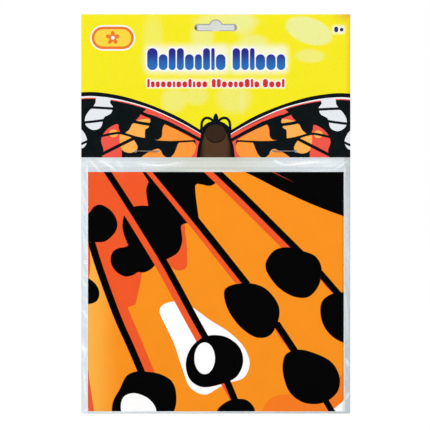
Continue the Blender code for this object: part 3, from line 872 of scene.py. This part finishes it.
def wing_blacks():
    """The black spots and veins, each vein with its red-orange stripe on the left."""
    along_3 = [(49, -2), (83, 39)]
    return [
        ("black", outline([(33, 30), (28.1, 32.1), (26.2, 41), (27.4, 47.2), (30.6, 55.6)],
                          [(27.3, 56.9), (23.4, 57.4), (19.2, 60.0), (17.3, 65.5), (18.2, 70.3),
                           (22, 75.6), (28.8, 78.9), (35, 77.4), (37.8, 75.6), (42.4, 75.8),
                           (47.6, 73.5), (52, 69)])),
        ("red_orange", band(VEIN_2, -8.2, -2.6)),
        ("black", outline([(38, -5), (43, -5)], [(76.5, 38.3), (70.8, 40.2), (70.9, 46.4),
                                                 (71.3, 51.8), (68.2, 60.5), (58.5, 66.6)],
                          [(33, 28), (34.7, 26.4), (40.5, 25.4), (45.7, 25.6)],
                          [(45.7, 25.6), (44.2, 16.3), (44.4, 11.7), (46.0, 7.5)])),
        ("black", outline(along_3, [(84, 36.4), (82.4, 24.9), (81.2, 14.4), (81.1, 10.2)],
                          [(82.6, 9.0), (86.2, 9.5), (90.4, 10.5), (93.7, 10.2), (96.4, 8.4)],
                          [(88, -2), (84, -5)])),
        ("red_orange", band(VEIN_3, -7.7, -3.0)),
        ("red_orange", band(VEIN_4, -10.0, -3.1)),
        ("black", band(VEIN_1, -2.8, 3.0)),
        ("black", band(VEIN_2, -2.7, 3.1)),
        ("black", band(VEIN_3, -3.0, 3.8)),
        ("black", band(VEIN_4, -3.2, 3.9)),
        ("black", outline([(106, -6), (118.6, 0.1), (130.9, 6.2), (138.6, 10.3), (150.2, 15.9),
                           (173.3, 26.1), (198, 35), (214, 39), (230, 37), (244, 27), (255, 11),
                           (262, -8)])),
        ("thin_red", np.array([(136.4, -1), (138.2, -1), (156, 8.1)])),
        ("black", blob((-6, 31), (0, 31.6), (5, 26), (9.6, 24.7), (15, 27.1), (19.7, 31.8),
                       (22.4, 38.7), (21.2, 44.6), (13.5, 52.2), (5.4, 53), (0, 52.8),
                       (-6, 52))),
        ("black", blob((-6, 79), (0, 79.9), (6.6, 85.3), (8.9, 91.5), (6.9, 97.3), (0, 99.7),
                       (-6, 98))),
        ("black", blob((134, 71.1), (134.8, 66.8), (140.9, 59.1), (150.2, 56.8),
                       (161.8, 59.5), (171.8, 63.7), (176.4, 72.6), (174.1, 85.7),
                       (166.4, 94.2), (156.4, 94.3), (144, 87.3), (135.2, 75.7))),
        ("black", blob((102.8, 93.3), (106.3, 104.9), (116.3, 118), (127.8, 124.9),
                       (137.1, 123.4), (143.6, 112.6), (144, 101), (134, 87.9),
                       (122.1, 83.9), (109.3, 85.1), (103.6, 88.4))),
        ("red_orange", np.array([(140.7, 117.8), (146.2, 126.9), (152.6, 134.8), (153.8, 134.8),
                                 (143.2, 117.8)])),
        ("black", band([(141.5, 113), (155.6, 134.5), (157, 137)], -3.2, 3.2)),
        ("black", blob((147, 144.9), (149.4, 137.6), (158.3, 134), (171, 136.6),
                       (184.3, 143.9), (190.0, 155.0), (188.7, 165), (182.2, 171.8),
                       (173.3, 174.9), (161.8, 173.5), (152.1, 165.8), (147.5, 153.4))),
        ("black", band([(176.5, 167.5), (184.2, 180.6), (187.4, 186)], -2.6, 2.6)),
        ("red_orange", np.array([(175.2, 80.6), (179.4, 86.3), (185.3, 92), (186.4, 92),
                                 (176.8, 80.6)])),
        ("black", band([(174, 74.6), (189, 92)], -3.6, 3.1)),
        ("black", blob((204, 91), (193.4, 90.8), (184.8, 91.7), (176.9, 97.3), (175.5, 107.2),
                       (179.1, 118), (188.4, 126.8), (204, 130), (212, 110))),
    ]


def wing_eyes():
    """The two eyespots and the half spot at the bottom fold."""
    return [
        ("red_orange", np.array([(99.4, 158.2), (107.6, 172), (108.8, 172), (103.4, 158.2)])),
        ("black", band([(103.6, 155), (111, 173)], -2.5, 3.1)),
        ("black", blob((86.7, 124.9), (78.2, 132.2), (74, 144.2), (77.1, 156.5), (85.9, 162.1),
                       (100.6, 160), (112.4, 154.2), (117.2, 143.4), (114.7, 132.6),
                       (105.5, 124.9), (95.5, 123))),
        ("white", ellipse(88.2, 140.5, 7.8, 12.0)),
        ("black", blob((97.6, 180.6), (101.3, 175.6), (107.8, 171.9), (114, 171),
                       (119.4, 171.8), (123.2, 174.6), (126.1, 180.6), (112, 196))),
        ("black", blob((37.4, 150.3), (29.7, 153.4), (24.3, 163.4), (18.9, 174.2),
                       (19.3, 183), (40, 196), (63.6, 183), (66.9, 168.8), (63.6, 158),
                       (54.3, 152.3), (43.2, 150.5))),
        ("white", blob((26.6, 183), (25, 176.5), (27.2, 169.6), (34.3, 166.8), (45.1, 170.4),
                       (51.3, 178.1), (50.8, 184), (38, 190))),
    ]


def tip_flap():
    """Guessed: the wing's outer third, behind, where veins run into a black edge with white spots."""
    shapes = []
    for number in range(5):
        y = 4 + 40 * number
        shapes.append(("black", stroke([(196, y - 6), (240, y + 4), (300, y + 10)], 4.4)))
    edge = [(306 + 9 * math.cos(0.16 * y), y) for y in range(-16, 205, 6)]
    shapes.append(("black", outline(edge, [(420, 205), (420, -16)])))
    for row, (x, across) in enumerate(((326, 7.5), (352, 5.0))):
        for number in range(7):
            y = 6 + 28 * number + 14 * row
            shapes.append(("white", ellipse(x, y, across, 0.8 * across, 15)))
    for number in range(4):
        y = 26 + 40 * number
        shapes.append(("red_orange", ellipse(300, y, 12, 7, 10)))
        shapes.append(("black", ellipse(252, y, 11, 9, 20)))
    return shapes


def wing_print():
    return [*wing_grounds(), *wing_blacks(), *wing_eyes(), *tip_flap()]


# --- Folding -------------------------------------------------------------------------------


def wrap_path(side):
    """A wing layer's middle line seen from above: points, outward normals and lengths so far."""
    half = LAYER / 2
    inner_y = BODY_HIGH[1] - half if side == "right" else BODY_LOW[1] + half
    low, high = (RIGHT_LOW, RIGHT_HIGH) if side == "right" else (LEFT_LOW, LEFT_HIGH)
    front, outer = low[1] + half, high[1] - half
    left_r, right_r = (inner_y - front) / 2, (outer - front) / 2
    left = (low[0] + half + left_r, (inner_y + front) / 2)
    right = (high[0] - half - right_r, (outer + front) / 2)
    straight = np.linspace(SEAM_X, left[0], SEAM_STEPS, endpoint=False)
    points = [(x, inner_y, 0, 1) for x in straight]
    for (x, y), radius, start in ((left, left_r, 90), (right, right_r, -90)):
        for t in np.radians(np.linspace(start, start + 180, FOLD_POINTS)):
            c, s = math.cos(t), math.sin(t)
            points.append((x + radius * c, y + radius * s, c, s))
    points.append((TIP_X, outer, 0, 1))
    points = np.array(points)
    steps = np.hypot(*np.diff(points[:, :2], axis=0).T)
    lengths = np.concatenate([[0], np.cumsum(steps)])
    # The print starts where the front panel would, seen from the front.
    first_front = SEAM_STEPS + FOLD_POINTS - 1
    start = lengths[first_front] - (points[first_front, 0] - low[0])
    return points, lengths - start


def wing_place(path, lengths, top, height):
    """Folds flat (right, up) points: the outer thirds behind the middle one, then round the board."""
    def place(points):
        across, down = points[:, 0], -points[:, 1]
        behind_top = down < 0
        behind_bottom = down > height
        up_r, low_r = PLY, PLY / 2
        turn_top = np.clip(-down / up_r, 0, math.pi)
        turn_low = np.clip((down - height) / low_r, 0, math.pi)
        past_top = np.maximum(-down - math.pi * up_r, 0)
        past_low = np.maximum(down - height - math.pi * low_r, 0)
        z = top - down
        z = np.where(behind_top, top - up_r + up_r * np.sin(turn_top) - past_top, z)
        z = np.where(behind_bottom, top - height + low_r * (1 - np.sin(turn_low)) + past_low, z)
        deep = np.zeros(len(points))
        deep = np.where(behind_top, up_r * (1 - np.cos(turn_top)), deep)
        deep = np.where(behind_bottom, low_r * (1 - np.cos(turn_low)), deep)
        x, y, nx, ny = (np.interp(across, lengths, path[:, k]) for k in range(4))
        ripple = 0.05 * np.sin(0.11 * across + 0.07 * down) * np.cos(0.09 * down)
        out = PLY - deep + ripple
        return np.stack([x + nx * out, y + ny * out, z], 1)

    return place


def wing_sheet(side, print_list, inks, spacing):
    """One wing: its whole cloth cut flat with its print, then folded in nine and wrapped."""
    path, lengths = wrap_path(side)
    top, height = RIGHT_HIGH[2], PANEL_HEIGHT
    third = height - 4
    low = (lengths[0], -height - third)
    high = (lengths[-1], third)
    arcs = [lengths[n:n + FOLD_POINTS] for n in (SEAM_STEPS, SEAM_STEPS + FOLD_POINTS)]
    xs = np.concatenate([
        even(lengths[0], arcs[0][0], spacing)[:-1],
        arcs[0][::2],
        even(arcs[0][-1], arcs[1][0], spacing)[1:-1],
        arcs[1][::2],
        even(arcs[1][-1], lengths[-1], spacing)[1:],
    ])
    upper = np.linspace(0, math.pi * PLY, 5)
    lower = np.linspace(0, math.pi * PLY / 2, 4)
    ys = np.concatenate([
        even(low[1], -height - lower[-1], 3 * spacing)[:-1],
        -height - lower[::-1],
        even(-height, 0, spacing)[1:-1],
        upper,
        even(upper[-1], high[1], 3 * spacing)[1:],
    ])
    shapes = [("orange", rectangle(low, high))]
    shapes += [(ink, shape * (1, -1)) for ink, shape in print_list]
    place = wing_place(path, lengths, top, height)
    sheet = printed_sheet(f"{side}_wing_cloth", low, high, [(xs, ys)], shapes, [], place, inks)
    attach(sheet, "wings")
    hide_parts(f"{side}_wing")
    return sheet


# --- The film bag --------------------------------------------------------------------------

# Creases pressed into the front film: strength, half width and points in (x, z), in millimetres.
CREASES = (
    (0.75, 0.6, (-96.2, -104.9), (-92, -109.8), (-87.0, -115.2)),
    (0.85, 0.8, (-90.0, -105.8), (-83.4, -108.6), (-75.0, -114.6)),
    (0.35, 2.6, (-76, -105.6), (-73, -109), (-70.5, -113.5)),
    (0.35, 2.2, (-88, -104.8), (-82.5, -107.2), (-77, -106)),
    (1.0, 0.65, (-59, -108.6), (-51, -109.7), (-43, -110.2), (-34, -109.3), (-25.5, -108.2)),
    (0.25, 1.6, (-58, -109.8), (-43, -111.2), (-24, -109.4)),
    (0.8, 0.7, (43.5, -106.4), (48.5, -108.6), (53, -110.0)),
    (1.0, 0.8, (49, -109.3), (55, -109.9), (68, -108.4), (81, -107.0)),
    (0.4, 1.8, (55, -109.0), (70, -108.0), (92, -106.8)),
    (0.75, 0.6, (100.4, -105.9), (95, -110.2), (88.6, -114.2)),
    (0.3, 1.6, (97, -105.4), (88, -110), (78, -111.2)),
    (0.7, 0.5, (-26, -114.5), (-9, -114.5), (8, -114.6), (22, -114.5)),
    (0.6, 0.5, (66, -114.6), (78, -114.5), (92, -114.5)),
    (0.6, 0.5, (97.6, -106), (97.7, -112), (97.6, -119)),
    (0.5, 0.5, (-97.2, -105), (-97.3, -112), (-97.2, -120)),
    (0.5, 0.7, (-101.2, -118), (-100.6, -140), (-101.0, -160)),
    (0.6, 0.5, (-100.8, -156), (-99.4, -168), (-97.4, -180)),
    (0.9, 0.8, (-99.8, -183), (-98.6, -184.4), (-97.4, -184)),
    (0.5, 0.6, (-100.6, -186), (-100.2, -198), (-100.9, -212)),
    (0.7, 0.7, (-100.4, -220), (-98.8, -222.6), (-97.4, -226)),
    (0.9, 1.0, (-100.8, -246), (-99.8, -249.5), (-98.8, -252)),
    (0.6, 0.7, (-98.2, -249), (-98.9, -256), (-100.8, -259)),
    (0.9, 0.55, (-99.8, -262), (-99.0, -274), (-98.2, -288)),
    (0.8, 0.5, (-101.2, -297.0), (-98.4, -295.2), (-95.5, -293.8)),
    (0.5, 0.5, (98.4, -122), (98.6, -150), (98.2, -186)),
    (0.45, 0.5, (100.5, -128), (100.2, -170), (100.7, -220)),
    (0.6, 0.6, (98.0, -200), (98.9, -222), (100.4, -244)),
    (0.9, 0.8, (98.4, -256), (99.4, -259), (100.6, -262)),
    (0.9, 0.8, (100.8, -282), (99.4, -284.6), (98.2, -287)),
    (0.5, 0.5, (-90, -296.8), (-40, -296.6), (10, -296.9)),
    (0.5, 0.5, (20, -296.8), (60, -296.6), (94, -296.9)),
)


def crease_strength(x, z):
    """How strongly each point of the front film lies on a crease, from 0 to 1."""
    total = np.zeros(len(x))
    for strength, width, *points in CREASES:
        line = np.array(smooth_run(points, step=0.6))
        low, high = line.min(0) - 3 * width, line.max(0) + 3 * width
        near = np.flatnonzero((x > low[0]) & (x < high[0]) & (z > low[1]) & (z < high[1]))
        if len(near):
            far = np.hypot(x[near, None] - line[:, 0], z[near, None] - line[:, 1])
            along = far.argmin(1) / (len(line) - 1)
            fade = np.sin(np.pi * np.clip(along, 0.03, 0.97)) ** 0.5
            found = strength * fade * np.exp(-((far.min(1) / width) ** 2))
            total[near] = np.maximum(total[near], found)
    return total


def crinkle(x, z, seed, shortest):
    """Sharp-crested creases, from -1 to 1: folded sines in seeded directions."""
    rng = np.random.default_rng(seed)
    total = np.zeros(len(x))
    for number in range(5):
        angle, phase = rng.uniform(0, math.pi), rng.uniform(0, 2 * math.pi)
        along = x * math.cos(angle) + z * math.sin(angle)
        bend = 1.3 * np.sin(0.2 * (x * math.sin(angle) - z * math.cos(angle)) / shortest + phase)
        total += 1 - 2 * np.abs(np.sin(math.pi * along / shortest / 1.5**number + bend))
    return total / 5


def smooth_step(value, start, end):
    t = np.clip((value - start) / (end - start), 0, 1)
    return t * t * (3 - 2 * t)


def film_depth(x, z):
    """How far the film stands from the middle plane, and how loose it is there."""
    inside_card, half_film = 0.22, 0.08
    full = BAG_HIGH[1] - half_film
    neck = smooth_step(z, HINGE_Z - 1.0, RIGHT_HIGH[2] + 2.4)
    depth = inside_card + (full - inside_card) * neck
    edge = BAG_HIGH[0]
    corner = RIGHT_HIGH[0] - 0.6
    side = np.clip((edge - np.abs(x)) / (edge - corner), 0, 1)
    foot = np.clip((z - BAG_LOW[2]) / (RIGHT_LOW[2] - BAG_LOW[2]), 0, 1) ** 0.5
    loose = np.maximum(1 - side, 0.3 * smooth_step(z, RIGHT_HIGH[2] - 1, RIGHT_HIGH[2] + 2))
    loose *= smooth_step(z, HINGE_Z + 0.2, HINGE_Z - 2.5)
    return depth * side**0.8 * foot, loose * np.minimum(side * 3, 1) * np.minimum(foot * 2, 1)


def film_face(points, sign, seed):
    x, z = points[:, 0], points[:, 1]
    depth, loose = film_depth(x, z)
    below = smooth_step(z, HINGE_Z, HINGE_Z - 3)
    wave = 0.55 * loose * crinkle(x, z, seed, 4.0)
    wave += 0.06 * below * crinkle(x, z, seed + 1, 30.0)
    wave += 0.5 * below * crease_strength(-sign * x, z)
    return np.stack([x, sign * (depth + wave * np.minimum(depth, 1)), z], 1)


def paint_crease_highlights(bag):
    """Marks where the film is creased and crumpled, for the painted white highlight of its material. Its
    back gets less of this painted highlight.
    """
    at = np.empty(3 * len(bag.data.vertices))
    bag.data.vertices.foreach_get("co", at)
    x, y, z = at.reshape(-1, 3).T / MM
    front = y < 0
    crumpled = smooth_step(crinkle(x, z, 11, 4.0), 0.2, 0.75) * film_depth(x, z)[1]
    marks = np.where(front, 0.6 * crease_strength(x, z), 0) + np.where(front, 0.3, 0.15) * crumpled
    layer = bag.data.attributes.new("crease", "FLOAT", "POINT")
    layer.data.foreach_set("value", marks.astype(np.float32))


def film_bag(film):
    """One welded bag from the card's fold to the foot, whose faces meet at its sides and foot."""
    top, side_width, foot_height = 2.9, 6.4, 2.4
    low = (BAG_LOW[0], BAG_LOW[2])
    high = (BAG_HIGH[0], top)
    left, right = low[0] + side_width, high[0] - side_width
    foot, neck, in_card = BAG_LOW[2] + foot_height, RIGHT_HIGH[2] - 1.6, CARD_LOW[2] + 0.6
    margin = even(0, side_width, 0.8)
    # Fine where the film is loose and creased, at its sides, its foot and its neck.
    grids = [
        (low[0] + margin, even(foot, neck, 0.9)),
        (right + margin, even(foot, neck, 0.9)),
        (even(left, right, 4.0), even(foot, neck, 4.0)),
        (even(low[0], high[0], 1.0), low[1] + np.array([0, 0.2, 0.5, 0.9, 1.4, 1.9, foot_height])),
        (even(low[0], high[0], 0.9), even(neck, in_card, 0.7)),
        (even(low[0], high[0], 8.0), even(in_card, top, 8.0)),
    ]
    # A hook pushes through the film across the slot, which has a slit in each face.
    reach, apart, half_width = 13.0, 1.0, 0.15
    slits = [
        pill(-reach, reach, z - half_width, z + half_width)
        for z in (SLOT_MIDDLE - apart, SLOT_MIDDLE + apart)
    ]
    punched = staple_hole_shapes(STAPLE_HOLE)
    verts, faces = cut_flat(low, high, grids, [*slits, *punched])
    middles = verts[faces].mean(1)
    front, back = (faces[~in_any(middles, (slit, *punched))] for slit in slits)
    points = np.concatenate([film_face(verts, -1, 11), film_face(verts, 1, 23)])
    both_faces = np.concatenate([front, back[:, ::-1] + len(verts)])
    bag = mesh_object("film_bag", points, both_faces, [film], weld=0.002)
    bag.data.shade_smooth()
    paint_crease_highlights(bag)
    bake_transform(bag)
    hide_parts("bag_mouth", "bag_pouch")
    return bag


# --- Small pieces --------------------------------------------------------------------------


def wires(name, lines, radius, resolution, material, body):
    """Round wires or threads along lines of points, in millimetres, as one piece."""
    curve = bpy.data.curves.new(name, "CURVE")
    curve.dimensions = "3D"
    curve.bevel_depth = radius * MM
    curve.bevel_resolution = resolution
    curve.use_fill_caps = True
    for line in lines:
        spline = curve.splines.new("POLY")
        spline.points.add(len(line) - 1)
        for target, point in zip(spline.points, line):
            target.co = (*(c * MM for c in point), 1)
    curve.materials.append(material)
    thing = bpy.data.objects.new(name, curve)
    bpy.context.scene.collection.objects.link(thing)
    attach(thing, body)
    return thing


def staples(steel):
    """Each staple's crown in front, its legs through card and film, and its clinched tips."""
    reach = STAPLE_HIGH[1] - STAPLE_WIRE / 2
    for side, name in ((-1, "left"), (1, "right")):
        middle = side * STAPLE_MIDDLE
        half = [(0, -reach), (STAPLE_REACH - 1.0, -reach), (STAPLE_REACH - 0.25, -reach + 0.25)]
        half += [(STAPLE_REACH, -reach + 0.9), (STAPLE_REACH, reach - 0.9)]
        half += [(STAPLE_REACH - 0.25, reach - 0.25), (STAPLE_REACH - 1.0, reach)]
        half += [(STAPLE_REACH - 3.4, reach - 0.05), (STAPLE_REACH - 6.0, reach + 0.1)]
        whole = [(-x, y) for x, y in reversed(half[1:])] + half
        line = smooth_run(whole, step=0.15)
        points = [(middle + x, y, STAPLE_Z) for x, y in line]
        made = wires(
            f"staple_wire_{name}", [points], STAPLE_WIRE / 2, 5, steel, "header"
        )
        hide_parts(f"staple_{name}")


def hem_stitches(thread):
    """Stitches along the tip's free hem at the back, as short threads lying on the cloth."""
    y = RIGHT_HIGH[1] + 0.03
    stitch = ((-0.08, 0), (0.04, 1.1), (-0.08, 2.2))
    lines = [
        [(TIP_X + 5, y + dy, z + dz) for dy, dz in stitch]
        for z in even(RIGHT_LOW[2] + 3, RIGHT_HIGH[2] - 3, 3.2)
    ]
    wires("tip_hem_stitches", lines, 0.09, 1, thread, "wings")


def dress(node, material):
    """Gives a CAD node that stays visible its finished material."""
    mesh = frame["nodes"][node].data
    mesh.materials.clear()
    mesh.materials.append(material)


# --- Light, floor and camera ---------------------------------------------------------------


def softbox(name, place, target, size, power):
    lamp = bpy.data.lights.new(name, "AREA")
    lamp.shape = "RECTANGLE"
    lamp.size, lamp.size_y = size
    lamp.energy = power
    thing = bpy.data.objects.new(name, lamp)
    thing.location = place
    direction = Vector(target) - Vector(place)
    thing.rotation_euler = direction.to_track_quat("-Z", "Y").to_euler()
    bpy.context.scene.collection.objects.link(thing)
    return thing


def light_the_scene(floor):
    middle, size = (0, 0, -0.15), (1.1, 1.4)
    sides = (
        ("key_left", (-1.3, -1.3, 0.35), 11),
        ("key_right", (1.3, -1.3, 0.15), 9),
        ("back_left", (-1.2, 1.4, 0.3), 9),
        ("back_right", (1.2, 1.4, 0.3), 9),
    )
    lamps = [softbox(name, place, middle, size, power) for name, place, power in sides]
    lamps.append(softbox("top", (0, -0.9, 1.2), (0, 0, -0.1), (1.4, 1.0), 7))
    # The floor stays as white as the world behind it, so that no horizon shows.
    unlit = bpy.data.collections.new("unlit")
    unlit.objects.link(floor)
    unlit.collection_objects[0].light_linking.link_state = "EXCLUDE"
    for lamp in lamps:
        lamp.light_linking.receiver_collection = unlit


def white_world():
    """White to the camera, soft fill for cloth and card, and dark to the film's gloss."""
    world = bpy.data.worlds.new("studio")
    bpy.context.scene.world = world
    world.use_nodes = True
    tree = world.node_tree
    path = tree.nodes.new("ShaderNodeLightPath")
    fill = tree.nodes.new("ShaderNodeMix")
    shown = tree.nodes.new("ShaderNodeMix")
    fill.inputs[2].default_value, fill.inputs[3].default_value = 1.0, 0.0
    shown.inputs[3].default_value = 1.0
    tree.links.new(path.outputs["Is Glossy Ray"], fill.inputs[0])
    tree.links.new(path.outputs["Is Camera Ray"], shown.inputs[0])
    tree.links.new(fill.outputs[0], shown.inputs[2])
    background = tree.nodes["Background"]
    background.inputs["Color"].default_value = (1, 1, 1, 1)
    tree.links.new(shown.outputs[0], background.inputs["Strength"])


def pale_floor():
    tree = Tree("floor")
    mottle = tree.ramp(tree.noise(3.0), 0.3, 0.7)
    colour = tree.mix(mottle, (0.93, 0.93, 0.93), (0.95, 0.95, 0.95))
    material = tree.surface(colour, 0.9, Emission_Color=(1.0, 1.0, 1.0), Emission_Strength=0.16)
    bm = bmesh.new()
    bmesh.ops.create_grid(bm, x_segments=1, y_segments=1, size=30)
    mesh = bpy.data.meshes.new("floor")
    bm.to_mesh(mesh)
    bm.free()
    mesh.materials.append(material)
    floor = bpy.data.objects.new("floor", mesh)
    floor.location = (0, 0, FLOOR_Z)
    floor.visible_glossy = False
    bpy.context.scene.collection.objects.link(floor)
    return floor


def camera():
    """Square to the front, on a long lens. The view is 324.8 mm across at the pack."""
    data = bpy.data.cameras.new("camera")
    data.sensor_width = 36.0
    data.lens = 150.0
    view_width, middle_x, middle_z = 0.3248, -0.0006, -0.1477
    thing = bpy.data.objects.new("camera", data)
    distance = view_width * data.lens / data.sensor_width
    thing.location = (middle_x, -distance, middle_z)
    thing.rotation_euler = (math.pi / 2, 0, 0)
    bpy.context.scene.collection.objects.link(thing)
    bpy.context.scene.camera = thing


PLAIN_INKS = {
    "white": (246, 248, 250),
    "pale": (230, 235, 240),
    "black": (8, 20, 24),
    "red": (243, 84, 68),
    "pale_orange": (255, 180, 80),
    "orange": (255, 152, 50),
    "dark_brown": (58, 38, 22),
    "darkest_brown": (42, 26, 16),
    "tag_red": (215, 40, 45),
    "badge_orange": (238, 120, 40),
    "badge_yellow": (250, 215, 60),
    "navy": (40, 44, 110),
    "back_yellow": YELLOW,
    "back_grey": (150, 150, 155),
}


def card_inks():
    inks = {ink: card_ink(f"card_{ink}", on_card(colour)) for ink, colour in PLAIN_INKS.items()}
    inks["yellow"] = yellow_ground()
    inks["brown"] = body_brown()
    inks["title_blue"] = title_blue()
    inks["raw_card"] = raw_card()
    return inks


def cloth_inks():
    orange = under_film((248, 148, 29))
    return {
        "orange": cloth_ink("wing_orange", orange),
        "red_orange": cloth_ink("wing_red_orange", under_film((240, 90, 40))),
        "pale_orange": cloth_ink("wing_pale_orange", orange, under_film((252, 180, 70))),
        "deep_orange": cloth_ink("wing_deep_orange", under_film((246, 126, 32))),
        "thin_red": cloth_ink("wing_thin_red", under_film((185, 70, 35))),
        "black": cloth_ink("wing_black", (0.0008, 0.0008, 0.0009)),
        "white": cloth_ink("wing_white", under_film((255, 255, 255))),
    }


def build():
    camera()
    white_world()
    light_the_scene(pale_floor())

    header_card(card_inks())
    cloths = cloth_inks()
    wing_sheet("right", wing_print(), cloths, 6.0)
    wing_sheet("left", [], cloths, 12.0)
    film_bag(clear_film())
    staples(staple_steel())
    hem_stitches(plain_cloth("black_thread", (0.01, 0.01, 0.011), 0.3))

    dress("insert_board", grey_board())
    dress("body_panel", plain_cloth("body_cloth", under_film((88, 58, 38)), 0.5))
    elastic = plain_cloth("black_elastic", (0.018, 0.018, 0.02), 0.8)
    for side in ("left", "right"):
        dress(f"shoulder_strap_{side}", elastic)
        dress(f"finger_loop_{side}", elastic)
    dress("care_label", plain_cloth("label_satin", (0.8, 0.8, 0.78), 0.25, 0.45))

    scene = bpy.context.scene
    scene.view_settings.view_transform = "Standard"
    scene.view_settings.look = "None"


build()
